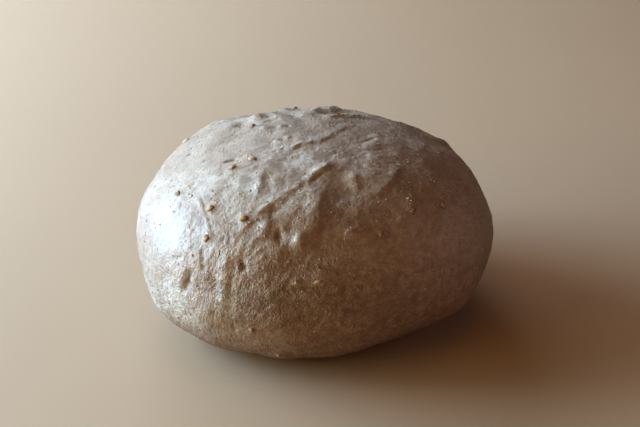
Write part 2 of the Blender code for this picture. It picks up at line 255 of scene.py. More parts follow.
# The fine texture is fainter on calm patches. Each fades out from its middle over its spread, and
# leaves its share of the texture there. A share over 1 strengthens the flecks and the finest bumps
# alone. Angles are in degrees.
Calm = namedtuple("Calm", "azimuth elevation spread share")
CALM_PATCHES = (
    Calm(-152, 37, 36, 0.1),
    Calm(-30, 62, 44, 0.15),
    Calm(150, 62, 38, 0.5),
    Calm(60, 0, 70, 0.9),
    Calm(-102, 20, 28, 1.6),
    Calm(-145, -15, 30, 0.6),
    Calm(-105, -30, 18, 0.5),
    Calm(-110, 72, 26, 0.6),
)

# Pale patches, where the skin has dried or caught flour, and painted highlights: many lie on the
# crests, lumps and lower flank that face the light. Each fades out over its reach in millimetres,
# and its middle takes this share of the pale colour.
PaleAndHighlight = namedtuple("PaleAndHighlight", "azimuth elevation reach share")
PALE_AND_HIGHLIGHT_PATCHES = (
    PaleAndHighlight(-121, 43, 11, 0.40),
    PaleAndHighlight(-109, 60, 10, 0.38),
    PaleAndHighlight(-140, 39, 10, 0.20),
    PaleAndHighlight(-120, 45, 2.2, 0.60),
    PaleAndHighlight(-133, -4, 12, 0.65),
    PaleAndHighlight(-146, -9, 14, 0.40),
    PaleAndHighlight(-118, 3, 8, 0.35),
    PaleAndHighlight(-105, -18, 14, 0.20),
    PaleAndHighlight(-78, -24, 12, 0.15),
    PaleAndHighlight(-79, 59, 1.5, 0.45),
    PaleAndHighlight(-86, 55.5, 2.0, 0.60),
    PaleAndHighlight(-93, 51.5, 1.7, 0.60),
    PaleAndHighlight(-98, 46, 1.5, 0.50),
    PaleAndHighlight(-103, 41, 1.7, 0.55),
    PaleAndHighlight(-108, 38, 1.7, 0.45),
    PaleAndHighlight(-109, 28, 2.6, 0.60),
    PaleAndHighlight(-118, 11, 2.5, 0.40),
    PaleAndHighlight(-95, 25, 2.4, 0.50),
    PaleAndHighlight(-107, 24, 2.0, 0.40),
    PaleAndHighlight(-91, 38, 2.2, 0.30),
    PaleAndHighlight(-75, 26, 2.0, 0.40),
    PaleAndHighlight(-75, 38, 2.4, 0.30),
    PaleAndHighlight(-87, 12, 2.4, 0.40),
    PaleAndHighlight(-90, 11, 1.6, 0.30),
    PaleAndHighlight(-94, 12, 2.0, 0.60),
    PaleAndHighlight(-93, 8, 2.0, 0.40),
    PaleAndHighlight(-103, 9, 1.6, 0.45),
    PaleAndHighlight(-105, -11, 1.6, 0.35),
    PaleAndHighlight(-101, -19, 2.6, 0.45),
    PaleAndHighlight(-46, 54, 11, 0.22),
    PaleAndHighlight(10, 45, 8, 0.30),
    PaleAndHighlight(60, 40, 12, 0.40),
    PaleAndHighlight(80, -5, 9, 0.30),
    PaleAndHighlight(110, 20, 10, 0.30),
    PaleAndHighlight(150, 10, 12, 0.40),
)

# The skin's grid: cells along each edge of its square top, and rows of cells down its sides.
TOP_CELLS = 140
SIDE_ROWS = 125

# Whole grains: length and width in millimetres, turn in degrees within the skin, tone from 0,
# which is covered in dough, to 1, which is bare, and rim, how strong the painted shade on the
# dough round it is.
Grain = namedtuple("Grain", "azimuth elevation length width turn tone rim", defaults=(1.0,))
GRAINS = (
    Grain(159, 59, 4.2, 3.2, 20, 0.7),
    Grain(-140, 55, 4.6, 3.6, 10, 1.0),
    Grain(-143, 47, 4.2, 3.0, 70, 0.7),
    Grain(-152, 28, 3.8, 2.8, 0, 0.6),
    Grain(-132, 30, 3.8, 3.0, 50, 0.7),
    Grain(-116, 30, 4.2, 2.8, 20, 1.0),
    Grain(-127, 21, 3.8, 3.2, 35, 0.7),
    Grain(-62, 24, 3.4, 2.6, 80, 0.3),
    Grain(-45, 28, 3.6, 2.6, 20, 0.2),
    Grain(-31, 25, 3.6, 2.6, 60, 0.7),
    Grain(-87, 12, 4.4, 2.4, 5, 1.0, 0.2),
    Grain(-94, 12, 2.6, 2.2, 90, 1.0, 0.2),
    Grain(-101, -19, 3.0, 2.4, 0, 0.8, 0.1),
    Grain(-108, -5, 3.0, 2.4, 40, 0.8, 0.1),
)
BACK_GRAINS = 10
GRAIN_SEED = 8
GRAIN_LENGTHS = (3.4, 4.8)
GRAIN_ASPECTS = (0.62, 0.8)
GRAIN_ELEVATIONS = (-8, 44)
GRAIN_THICKNESS = 2.6 * MM
GRAIN_SINK = 0.24
GRAIN_COLUMNS = 20
GRAIN_ROWS = 12

# A grain's shape, in half sizes of the grain: how much it narrows towards one end, its crease, and
# its uneven surface, as (wavelength, height, seed), which is read at a random shift.
GRAIN_TAPER = 0.18
CREASE_DEPTH = 0.16
CREASE_WIDTH = 0.22
GRAIN_UNEVEN = (0.9, 0.17, 61)
GRAIN_SHIFT = 50

# A grain's tone grows up its side from BARE_FROM, over BARE_RISE. In the grain's middle it is
# MIDDLE_TONE of the whole, and towards the narrow end it falls by the last share: partly a darker
# end, partly painted shade, as the front grains turn that end away from the light.
BARE_FROM = 0.2
BARE_RISE = 0.6
MIDDLE_TONE = 0.7
END_FALL_AND_SHADE = 0.8

# The dough climbs each grain as a mound, and painted shade darkens it in a ring round the grain.
# Reaches are in its lengths.
MOUND_HEIGHT = 0.45 * MM
MOUND_REACH = 0.62
PAINTED_GRAIN_SHADE_REACH = 0.6
PAINTED_GRAIN_SHADE_SHARE = 0.5

# Bran flakes: how many, their lengths in millimetres, and bounds of a length's random share, of
# width to length, of the rim's distance, and of its lift in thicknesses.
BRAN_FLAKES = 1100
BRAN_LENGTHS = (0.7, 2.0)
BRAN_SHARES = (0.6, 1)
BRAN_ASPECTS = (0.35, 0.8)
BRAN_UNEVEN = (0.75, 1.15)
BRAN_LIFTS = (-0.5, 0.5)
BRAN_THICKNESS = 0.16 * MM
BRAN_SIDES = 7
BRAN_SEED = 51

# Coarse meal, with the same kinds of bounds, and how far it sinks in its own height.
MEAL_GRAINS = 2600
MEAL_LENGTHS = (0.5, 1.3)
MEAL_SHARES = (0.5, 1)
MEAL_ASPECTS = (0.55, 1)
MEAL_UNEVEN = (0.85, 1.15)
MEAL_SINK = 0.25
MEAL_COLUMNS = 6
MEAL_ROWS = 4
MEAL_SEED = 52

# Bits are scattered above this elevation, with this many tries for each. Skin that slants past the
# least facing counts as facing that much.
BITS_LOWEST = -35
TRIES_EACH = 8
LEAST_FACING = 0.2

# The camera: the photograph's lens, height above the horizon and distance from its target.
LENS = 80
SENSOR = 36
CAMERA_RISE = radians(28)
CAMERA_DISTANCE = 0.64
CAMERA_TARGET = (0.0043 + AXIS_X, AXIS_Y, 0.0436)
CLIP_START = 0.01

# Colours, as linear red, green, blue and alpha. A pair is blended by a pattern or a tone.
DOUGH_COLOURS = ((0.255, 0.172, 0.13, 1), (0.315, 0.23, 0.185, 1))
PATCH_COLOUR = (0.17, 0.105, 0.07, 1)
# Pale dried skin, and painted highlights.
PALE_AND_HIGHLIGHT_COLOUR = (0.52, 0.48, 0.45, 1)
# Mottling, partly painted shade in the low points of the fine bumps.
MOTTLE_AND_PIT_SHADE_COLOUR = (0.15, 0.09, 0.058, 1)
# Painted shade in the hollows and pits of the fine relief.
PAINTED_HOLLOW_SHADE_COLOUR = (0.14, 0.08, 0.048, 1)
DARK_SPECK_COLOUR = (0.12, 0.07, 0.045, 1)
TAN_SPECK_COLOUR = (0.43, 0.31, 0.21, 1)
# Painted shade on the dough round each grain.
PAINTED_GRAIN_SHADE_COLOUR = (0.16, 0.09, 0.05, 1)
FLOUR_COLOUR = (0.72, 0.68, 0.64, 1)
GRAIN_COLOURS = ((0.17, 0.10, 0.058, 1), (0.43, 0.28, 0.18, 1))
BRAN_COLOURS = ((0.15, 0.09, 0.055, 1), (0.42, 0.30, 0.19, 1))
MEAL_COLOURS = ((0.24, 0.17, 0.12, 1), (0.50, 0.40, 0.30, 1))
FLOOR_COLOURS = ((0.355, 0.24, 0.165, 1), (0.385, 0.26, 0.18, 1))

# Patterns of the materials. A scale is in waves or cells a metre.
BROAD_SCALE = 38.0
PATCH_SCALE = 330.0
CLOUD_DETAIL = 4.0
DOUGH_GRAIN_SCALE = 820.0
BIT_GRAIN_SCALE = 1500.0
GRAIN_DETAIL = 3.0
GRAIN_NOISE_ROUGHNESS = 0.62
DOMES_SCALE_SHARE = 2.3
DOMES_HEIGHT = 0.35
SPECK_WOBBLE_SCALE = 1400.0
SPECK_WOBBLE = 0.6 * MM
SPECK_EDGE = 0.14
DARK_SPECKS = {"Cells": 620.0, "Share": 0.30, "Size": 0.42}
TAN_SPECKS = {"Cells": 480.0, "Share": 0.14, "Size": 0.36}
FLOUR_SCALE = 55.0
FLOUR_DETAIL = 3.0
POWDER_SCALE = 900.0
POWDER_DETAIL = 2.0
FLOUR_AMOUNT = 0.2
FLOOR_SCALE = 4.0

# Which values of a pattern count, from none of it to all. Four values end with the shares that
# they are carried to.
BROAD_RANGE = (0.35, 0.65)
PATCH_RANGE = (0.62, 0.38, 0.0, 0.8)
# Pale skin and painted highlights, broken up by the patch clouds.
PALE_AND_HIGHLIGHT_RANGE = (0.35, 0.6, 0.45, 1.25)
# Mottling and painted pit shade, strongest where the fine bumps are lowest.
MOTTLE_AND_PIT_SHADE_RANGE = (0.45, 0.85, 0.5, 0.0)
# Painted shade, from where the fine relief sinks.
PAINTED_HOLLOW_SHADE_RANGE = (-0.2, -0.75, 0.0, 0.85)
GRAIN_RANGE = (0.3, 0.9)
# Mottling and painted pit shade on the bits, where their fine bumps are lowest.
BIT_MOTTLE_AND_PIT_SHADES = (0.35, 0.0)
FLOUR_RANGE = (0.45, 0.7)
POWDER_RANGE = (0.4, 0.65)
FLOUR_FACING = (0.1, 1.0, 0.25, 1.0)

# How strong patches, flecks and bumps are on the calmest skin and on the roughest, whose texture
# shares are 0 and ROUGHEST. Patches are at full strength from a share of 1.
ROUGHEST = 1.7
PATCH_STRENGTHS = (0.4, 1.0)
FLECK_STRENGTHS = (0.1, 0.55)
BUMP_STRENGTHS = (0.05, 1.9)
DOUGH_BUMP = 1.0 * MM
BIT_BUMP = 0.15 * MM

# Roughness of the surfaces, and the dough's shine. The fine pattern runs between two values.
DOUGH_GLOSS = (0.38, 0.55)
WHOLE_GRAIN_GLOSS = (0.65, 0.80)
BIT_GLOSS = (0.45, 0.60)
FLOOR_GLOSS = 0.7
DOUGH_SPECULAR = 0.5

# Soft rectangular lights that face the ball: a window on the left and a little behind, bluest low
# down, the warmer room in front of it, a doorway behind, and weak light from the front, the right
# and a lamp above. Lengths are in metres, and power is in watts.
Light = namedtuple("Light", "name azimuth elevation distance width height power colour")
LIGHTS = (
    Light("window", 165, 22, 1.2, 0.9, 0.7, 30, (0.58, 0.83, 1.0)),
    Light("window_foot", 178, 10, 1.2, 0.9, 0.7, 20, (0.06, 0.40, 1.0)),
    Light("room", -165, 8, 1.2, 0.9, 0.7, 13, (1.0, 0.95, 0.36)),
    Light("doorway", 118, 29, 1.2, 0.9, 0.7, 6, (0.85, 0.95, 1.0)),
    Light("front", -90, 7, 1.6, 1.4, 0.5, 6.4, (1.0, 0.66, 0.39)),
    Light("side", 0, 12, 1.6, 1.4, 1.4, 6.1, (1.0, 0.95, 1.0)),
    Light("lamp", 0, 90, 1.6, 1.4, 1.4, 3.5, (1.0, 0.60, 0.20)),
)
WORLD_COLOUR = (1.0, 0.63, 0.4, 1)
WORLD_STRENGTH = 0.02

FLOOR_SIZE = 6.0

# The least length, and the least product of lengths, that is divided by, and the step across the
# skin that finds its slope.
TINY = 1e-9
LEAST = 1e-12
SLOPE_STEP = 0.6 * MM


def direction(azimuth, elevation):
    """The unit vector, or vectors, of an azimuth and an elevation in degrees."""
    turn, rise = np.radians(azimuth), np.radians(elevation)
    return np.stack(
        [np.cos(turn) * np.cos(rise), np.sin(turn) * np.cos(rise), np.sin(rise)], axis=-1
    )


def unit(vectors):
    """The vectors at length 1."""
    return vectors / np.maximum(np.linalg.norm(vectors, axis=-1, keepdims=True), TINY)


def plan_radius(turn):
    """The ball's widest radius at an azimuth in radians: a circle, plus a cosine of twice the
    azimuth for the oval and one of three times the azimuth for the lobes."""
    oval = OVAL * np.cos(2 * (turn - OVAL_TURN))
    lobes = LOBES * np.cos(3 * (turn - LOBES_TURN))
    return MEAN_RADIUS * (1 + oval + lobes)


def foot_radius(widest):
    """Where the flank's ellipse meets the floor: its middle, plus its half width times the root
    of one less the square of the share of its depth that lies above the floor."""
    fallen = BELLY_HEIGHT / (BELLY_HEIGHT + FLANK_DIP)
    return widest * (FLANK_SHARE + (1 - FLANK_SHARE) * np.sqrt(1 - fallen**2))


def ball_points(directions):
    """Where rays from the middle point leave the plain ball.

    Above the belly, (across / radius) ** power + (up / dome height) ** power is 1. Below it, a
    quarter ellipse runs in to the rim of the foot, and the foot is flat.
    """
    widest = plan_radius(np.arctan2(directions[..., 1], directions[..., 0]))
    across = np.hypot(directions[..., 0], directions[..., 1])
    rise = directions[..., 2]
    dome = HEIGHT - BELLY_HEIGHT
    outwards = (across / widest) ** DOME_POWER
    upwards = (np.maximum(rise, 0) / dome) ** DOME_POWER
    above = (outwards + upwards) ** (-1 / DOME_POWER)

    middle = widest * FLANK_SHARE
    flank = widest - middle
    square = (across / flank) ** 2 + (rise / (BELLY_HEIGHT + FLANK_DIP)) ** 2
    half = across * middle / flank**2
    rest = (middle / flank) ** 2 - 1
    below = (half + np.sqrt(np.maximum(half**2 - square * rest, 0))) / square
    to_floor = BELLY_HEIGHT / np.maximum(-rise, TINY)
    below = np.where(across * to_floor < foot_radius(widest), to_floor, below)

    reach = np.where(rise >= 0, above, below)
    return directions * reach[..., None] + np.array([0, 0, BELLY_HEIGHT])


def outward(points):
    """Unit vectors out of the plain ball: the slope of two half ellipsoids, each offset divided
    by the square of its half axis."""
    offset = points - np.array([0, 0, BELLY_HEIGHT])
    depth = np.where(offset[..., 2] >= 0, HEIGHT - BELLY_HEIGHT, BELLY_HEIGHT)
    spread = np.full(depth.shape, MEAN_RADIUS)
    return unit(offset / np.stack([spread, spread, depth], axis=-1) ** 2)


def distance_to(points, spot):
    """How far points are from the plain ball's point in a spot's direction."""
    middle = ball_points(direction(spot.azimuth, spot.elevation))
    return np.linalg.norm(points - middle, axis=-1)


def swell_height(points, swell):
    """A bell, e to the minus square of the distance from the swell's middle over its radius."""
    distance = distance_to(points, swell) / (swell.radius * MM)
    return swell.height * MM * np.exp(-(distance**2))


def fold_height(points, fold):
    """A bell of the distance from the fold's crest line. Its width shrinks with the share of the
    distance that lies to the right of the crest, times steep."""
    crest = [ball_points(direction(*place)) for place in fold.way]
    steps = list(zip(crest, crest[1:])) or [(crest[0], crest[0])]
    nearest = np.full(points.shape[:-1], np.inf)
    on_right = np.zeros(points.shape[:-1])
    for start, end in steps:
        along = end - start
        share = ((points - start) @ along) / max(along @ along, LEAST)
        offset = points - start - np.clip(share, 0, 1)[..., None] * along
        distance = np.linalg.norm(offset, axis=-1)
        right = np.cross(along, outward(start))
        side = offset @ right / max(np.linalg.norm(right), LEAST)
        closer = distance < nearest
        on_right = np.where(closer, side / np.maximum(distance, TINY), on_right)
        nearest = np.minimum(nearest, distance)
    width = fold.half_width * MM * (1 - fold.steep * on_right)
    return fold.height * MM * np.exp(-((nearest / width) ** 2))


def back_folds():
    """Folds of random length, width and height on the side that faces away."""
    draw = np.random.default_rng(BACK_SEED)
    folds = []
    for _ in range(BACK_FOLDS):
        azimuth, elevation = draw.uniform(*BACK_AZIMUTHS), draw.uniform(*BACK_ELEVATIONS)
        heading, run = draw.uniform(0, pi), draw.uniform(*BACK_RUNS)
        end = (azimuth + run * np.cos(heading), elevation + run * np.sin(heading))
        height = draw.uniform(*BACK_HEIGHTS)
        if draw.random() < BACK_HOLLOW_SHARE:
            height = -height
        half_width = draw.uniform(*BACK_HALF_WIDTHS)
        folds.append(Fold(((azimuth, elevation), end), half_width, height, BACK_STEEP))
    return folds


def noise(points, wavelength, seed):
    """Gradient noise of about -1 to 1.

    Each corner of a cubic lattice holds a random slope, and a point blends the heights that the
    slopes of the eight corners round it give there, by a quintic fade along each axis.
    """
    slopes = unit(np.random.default_rng(seed).normal(size=(NOISE_LATTICE,) * 3 + (3,)))
    scaled = points / wavelength
    cell = np.floor(scaled).astype(int)
    inside = scaled - cell
    fade = inside**3 * (inside * (inside * 6 - 15) + 10)
    total = np.zeros(points.shape[:-1])
    for corner in np.ndindex(2, 2, 2):
        place = (cell + corner) % NOISE_LATTICE
        slope = slopes[place[..., 0], place[..., 1], place[..., 2]]
        weight = np.prod(np.where(np.array(corner) == 1, fade, 1 - fade), axis=-1)
        total += weight * np.sum((inside - corner) * slope, axis=-1)
    return total * NOISE_GAIN


def pimples(points, cell_size, half_width, pit_share, seed):
    """Bells of -1 to 1 at one random place in each cell of a cubic lattice. A cell's size is its
    own, and the sum runs over the 27 cells round a point."""
    draw = np.random.default_rng(seed)
    places = draw.random((NOISE_LATTICE,) * 3 + (3,))
    sizes = draw.uniform(*PIMPLE_SIZES, (NOISE_LATTICE,) * 3)
    sizes *= np.where(draw.random(sizes.shape) < pit_share, -1, 1)
    scaled = points / cell_size
    cell = np.floor(scaled).astype(int)
    total = np.zeros(points.shape[:-1])
    for step in np.ndindex(3, 3, 3):
        near = cell + np.array(step) - 1
        index = tuple(np.moveaxis(near % NOISE_LATTICE, -1, 0))
        distance = np.linalg.norm(scaled - near - places[index], axis=-1) * cell_size
        total += sizes[index] * np.exp(-((distance / half_width) ** 2))
    return total


def roughness(points):
    """From SMOOTH_SHARE on the smooth side to 1 in the middle of the rough side."""
    facing = outward(points) @ direction(*ROUGH_SIDE)
    return SMOOTH_SHARE + (1 - SMOOTH_SHARE) * np.clip(0.5 + ROUGH_SLOPE * facing, 0, 1)


def texture_share(points):
    """How strong the fine texture is: 1, times each patch's share in its middle, from where a bell
    of the angle brings the share back to 1."""
    share = np.ones(points.shape[:-1])
    for patch in CALM_PATCHES:
        facing = np.clip(outward(points) @ direction(patch.azimuth, patch.elevation), -1, 1)
        bell = np.exp(-((np.arccos(facing) / radians(patch.spread)) ** 2))
        share *= 1 - (1 - patch.share) * bell
    return share


def foot_fade(points):
    """From 0 at the foot to 1 above FOOT_FADE, by a cubic."""
    fade = np.clip(points[..., 2] / FOOT_FADE, 0, 1)
    return fade * fade * (3 - 2 * fade)


def relief(points):
    """How far the solid's own relief stands out of the plain ball at each point."""
    height = sum(swell_height(points, swell) for swell in SWELLS)
    height += sum(fold_height(points, fold) for fold in FOLDS)
    height += sum(fold_height(points, fold) for fold in back_folds())
    for wavelength, size, seed in NOISE_LAYERS:
        height += size * MM * roughness(points) * noise(points, wavelength * MM, seed)
    return height * foot_fade(points)


def wrinkle_height(points, wrinkles):
    """Noise stretched along the way, and faded out away from the middle by the cosine."""
    way = np.array(wrinkles.way) / np.linalg.norm(wrinkles.way)
    pressed = points - way * ((points @ way) * (1 - 1 / wrinkles.stretch))[..., None]
    lines = noise(pressed, wrinkles.wavelength * MM, wrinkles.seed)
    finer = FINER_WAVELENGTH * wrinkles.wavelength * MM
    lines += FINER_HEIGHT * noise(pressed, finer, wrinkles.seed + FINER_SEED)
    facing = outward(points) @ direction(*wrinkles.middle)
    share = np.clip((facing - wrinkles.narrowest) / (1 - wrinkles.narrowest), 0, 1)
    return wrinkles.height * MM * lines * np.sqrt(share)


def fine_relief(points):
    """How far the wrinkles, pits, small folds and the mounds round the grains stand out of the
    solid's relief."""
    wavelength, reach, seed = WAVER
    bent = points + reach * MM * np.stack(
        [noise(points, wavelength * MM, seed + axis) for axis in range(3)], axis=-1
    )
    height = sum(fold_height(bent, fold) for fold in FINE_FOLDS)
    height += sum(wrinkle_height(bent, wrinkles) for wrinkles in WRINKLES)
    rough = np.minimum(texture_share(points), 1)
    for cell, half_width, size, pit_share, seed in PIMPLE_LAYERS:
        bells = pimples(bent, cell * MM, half_width * MM, pit_share, seed)
        height += size * MM * rough * bells
    for wavelength, size, seed in CRUMPLE:
        height += size * MM * rough * noise(bent, wavelength * MM, seed)
    for grain in all_grains():
        distance = distance_to(points, grain) / (grain.length * MM)
        height += MOUND_HEIGHT * np.exp(-((distance / MOUND_REACH) ** 2))
    return height * foot_fade(points)


def skin_points(directions):
    """Points of the finished skin where it stands, and how high its fine relief is there."""
    plain = ball_points(directions)
    fine = fine_relief(plain)
    skin = plain + outward(plain) * (relief(plain) + fine)[..., None]
    skin[..., 2] = np.maximum(skin[..., 2], 0)
    return skin + np.array([AXIS_X, AXIS_Y, 0]), fine


def skin_frame(directions):
    """The skin's point, and its east, north and up there, from two small steps across it."""
    plain = ball_points(directions)
    up = outward(plain)
    east = unit(np.cross(np.array([0, 0, 1.0]), up))
    north = np.cross(up, east)
    arm = plain - np.array([0, 0, BELLY_HEIGHT])
    aside, ahead = unit(arm + SLOPE_STEP * east), unit(arm + SLOPE_STEP * north)
    here = skin_points(directions)[0]
    east, north = skin_points(aside)[0] - here, skin_points(ahead)[0] - here
    up = unit(np.cross(east, north))
    east = unit(east)
    return here, east, np.cross(up, east), up


def scatter(count, lowest, draw):
    """Random directions, spread evenly over the ball above an elevation. A direction is kept
    with a chance that follows the area of skin it stands for."""
    tries = count * TRIES_EACH
    azimuth = draw.uniform(-180, 180, tries)
    elevation = np.degrees(np.arcsin(draw.uniform(sin(radians(lowest)), 1, tries)))
    aims = direction(azimuth, elevation)
    points = ball_points(aims)
    reach = np.linalg.norm(points - np.array([0, 0, BELLY_HEIGHT]), axis=-1)
    area = reach**2 / np.maximum(np.sum(aims * outward(points), axis=-1), LEAST_FACING)
    kept = draw.random(tries) < area / area.max()
    return aims[kept][:count]


def new_mesh(name, points, faces, finish, **attributes):
    """A smooth object of these points and faces, with a number for each point by name."""
    mesh = bpy.data.meshes.new(name)
    mesh.from_pydata(points.reshape(-1, 3).tolist(), [], faces)
    for label, values in attributes.items():
        layer = mesh.attributes.new(label, "FLOAT", "POINT")
        layer.data.foreach_set("value", np.ravel(values).astype(np.float32))
    mesh.materials.append(finish)
    mesh.shade_smooth()
    made = bpy.data.objects.new(name, mesh)
    bpy.context.scene.collection.objects.link(made)
    return made


def skin_grid():
    """Directions and faces of the closed skin.

    Its top is a square grid of two parameters, the tangents of even angles from -45 to 45
    degrees. Below it, each column keeps the azimuth of a point on the square's edge, and its
    elevation falls in even rows to the rim of the foot, which one flat face closes.
    """
    count = TOP_CELLS + 1
    slope = np.tan(np.linspace(-pi / 4, pi / 4, count))
    x, y = np.meshgrid(slope, slope, indexing="ij")
    top = unit(np.stack([x, y, np.ones_like(x)], axis=-1))
    number = np.arange(count * count).reshape(count, count)
    edge = np.concatenate(
        [number[-1, :-1], number[:0:-1, -1], number[0, :0:-1], number[:-1, 0]]
    )
    above = top.reshape(-1, 3)[edge]
    turn = np.arctan2(above[:, 1], above[:, 0])
    highest = np.arcsin(above[:, 2])
    lowest = -np.arctan2(BELLY_HEIGHT, foot_radius(plan_radius(turn)))
    share = np.linspace(0, 1, SIDE_ROWS + 1)[1:, None]
    rise = highest + (lowest - highest) * share
    turns = np.broadcast_to(turn, rise.shape)
    sides = direction(np.degrees(turns), np.degrees(rise))
    rows = np.arange(sides[..., 0].size).reshape(rise.shape) + count * count
    rows = np.concatenate([edge[None], rows])
    after = np.roll(rows, -1, axis=1)
    faces = np.stack(
        [number[:-1, :-1], number[1:, :-1], number[1:, 1:], number[:-1, 1:]], axis=-1
    ).reshape(-1, 4)
    walls = np.stack([rows[1:], after[1:], after[:-1], rows[:-1]], axis=-1).reshape(-1, 4)
    faces = np.concatenate([faces, walls]).tolist()
    faces.append(rows[-1, ::-1].tolist())
    return np.concatenate([top.reshape(-1, 3), sides.reshape(-1, 3)]), faces


def moat_share(plain):
    """Painted shade round the grains: a flat bell of each grain's distance in its lengths, times
    its rim.
    """
    share = np.zeros(plain.shape[:-1])
    for grain in all_grains():
        distance = distance_to(plain, grain) / (grain.length * MM)
        share = np.maximum(share, grain.rim * np.exp(-((distance / PAINTED_GRAIN_SHADE_REACH) ** 4)))
    return share


def pale_share(plain):
    """Pale skin and painted highlights: a bell of the distance from each pale patch, over its
    reach.
    """
    share = np.zeros(plain.shape[:-1])
    for patch in PALE_AND_HIGHLIGHT_PATCHES:
        distance = distance_to(plain, patch) / (patch.reach * MM)
        share = np.maximum(share, patch.share * np.exp(-(distance**2)))
    return share


def make_skin(finish):
    """The dough's skin: every grid direction carried out to the skin."""
    directions, faces = skin_grid()
    points, fine = skin_points(directions)
    plain = ball_points(directions)
    rough, moat, pale = texture_share(plain), moat_share(plain), pale_share(plain)
    return new_mesh(
        "dough_skin", points, faces, finish, fine=fine / MM, rough=rough, moat=moat, pale=pale
    )


def all_grains():
    """The grains listed, then those drawn at random for the side that faces away."""
    draw = np.random.default_rng(GRAIN_SEED)
    grains = list(GRAINS)
    for _ in range(BACK_GRAINS):
        azimuth, elevation = draw.uniform(*BACK_AZIMUTHS), draw.uniform(*GRAIN_ELEVATIONS)
        length = draw.uniform(*GRAIN_LENGTHS)
        width = length * draw.uniform(*GRAIN_ASPECTS)
        turn = draw.uniform(0, 180)
        grains.append(Grain(azimuth, elevation, length, width, turn, sin(radians(turn))))
    return grains


def round_grid(columns, rows):
    """Unit sphere points in rings between two poles, and their faces, pointing out."""
    rise = np.linspace(-pi / 2, pi / 2, rows + 1)[1:-1, None]
    turn = np.linspace(0, 2 * pi, columns, endpoint=False)[None, :]
    ring = [np.cos(rise) * np.cos(turn), np.cos(rise) * np.sin(turn), np.sin(rise) + 0 * turn]
    points = np.concatenate(
        [np.stack(ring, axis=-1).reshape(-1, 3), [[0, 0, -1.0], [0, 0, 1.0]]]
    )
    number = np.arange((rows - 1) * columns).reshape(rows - 1, columns)
    after = np.roll(number, -1, axis=1)
    bottom, top = len(points) - 2, len(points) - 1
    faces = np.stack([number[:-1], after[:-1], after[1:], number[1:]], axis=-1)
    faces = faces.reshape(-1, 4).tolist()
    faces += [[bottom, b, a] for a, b in zip(number[0].tolist(), after[0].tolist())]
    faces += [[top, a, b] for a, b in zip(number[-1].tolist(), after[-1].tolist())]
    return points, faces


def repeat_faces(faces, step, count):
    """The same faces once for each copy, whose points follow each other."""
    return [[point + step * copy for point in face] for copy in range(count) for face in faces]


def make_grains(finish):
    """Whole grains: an egg-shaped ball, narrower at one end, with a shallow crease along its
    back and a fine uneven surface, laid along the skin and sunk in it."""
    grains = all_grains()
    wavelength, uneven, seed = GRAIN_UNEVEN
    draw = np.random.default_rng(GRAIN_SEED + 1)
    ball, faces = round_grid(GRAIN_COLUMNS, GRAIN_ROWS)
    placed = []
    for grain in grains:
        shape = ball.copy()
        shape[:, 1:] *= 1 - GRAIN_TAPER * shape[:, :1]
        crease = np.exp(-((shape[:, 1] / CREASE_WIDTH) ** 2)) * np.clip(shape[:, 2], 0, 1)
        shape[:, 2] -= CREASE_DEPTH * crease
        shift = draw.uniform(0, GRAIN_SHIFT, 3)
        shape *= 1 + uneven * noise(shape + shift, wavelength, seed)[:, None]
        size = np.array([grain.length * MM, grain.width * MM, GRAIN_THICKNESS]) / 2
        aim = direction(grain.azimuth, grain.elevation)
        place, east, north, up = (part[0] for part in skin_frame(aim[None]))
        turn = radians(grain.turn)
        along = east * cos(turn) + north * sin(turn)
        across = north * cos(turn) - east * sin(turn)
        local = shape * size
        middle = place - up * GRAIN_SINK * GRAIN_THICKNESS
        placed.append(middle + local @ np.stack([along, across, up]))
    bare = np.clip((ball[:, 2] - BARE_FROM) / BARE_RISE, 0, 1)
    # Darker towards the narrow end: partly a darker end, partly painted shade away from the light.
    bare *= np.clip(MIDDLE_TONE - END_FALL_AND_SHADE * ball[:, 0], 0, 1)
    tone = np.concatenate([grain.tone * bare for grain in grains])
    every = repeat_faces(faces, len(ball), len(grains))
    return new_mesh("whole_grains", np.concatenate(placed), every, finish, tone=tone)


def make_bran(finish):
    """Bran flakes: thin uneven lenses of a rim and two middles, lying along the skin."""
    draw = np.random.default_rng(BRAN_SEED)
    aims = scatter(BRAN_FLAKES, BITS_LOWEST, draw)
    count = len(aims)
    place, east, north, up = skin_frame(aims)
    length = draw.uniform(*BRAN_LENGTHS, count) * draw.uniform(*BRAN_SHARES, count) * MM / 2
    width = length * draw.uniform(*BRAN_ASPECTS, count)
    turn = draw.uniform(0, pi, count)[:, None]
    along = east * np.cos(turn) + north * np.sin(turn)
    across = np.cross(up, along)
    angle = np.linspace(0, 2 * pi, BRAN_SIDES, endpoint=False)
    uneven = draw.uniform(*BRAN_UNEVEN, (count, BRAN_SIDES))
    lift = draw.uniform(*BRAN_LIFTS, (count, BRAN_SIDES)) * BRAN_THICKNESS
    rim = place[:, None] + (np.cos(angle) * uneven * length[:, None])[..., None] * along[:, None]
    rim += (np.sin(angle) * uneven * width[:, None])[..., None] * across[:, None]
    rim += lift[..., None] * up[:, None]
    high = place + up * BRAN_THICKNESS
    low = place - up * BRAN_THICKNESS
    points = np.concatenate([rim, high[:, None], low[:, None]], axis=1)
    ring = range(BRAN_SIDES)
    faces = [[a, (a + 1) % BRAN_SIDES, BRAN_SIDES] for a in ring]
    faces += [[(a + 1) % BRAN_SIDES, a, BRAN_SIDES + 1] for a in ring]
    tone = np.repeat(draw.random(count), BRAN_SIDES + 2)
    every = repeat_faces(faces, BRAN_SIDES + 2, count)
    return new_mesh("bran_flakes", points, every, finish, tone=tone)


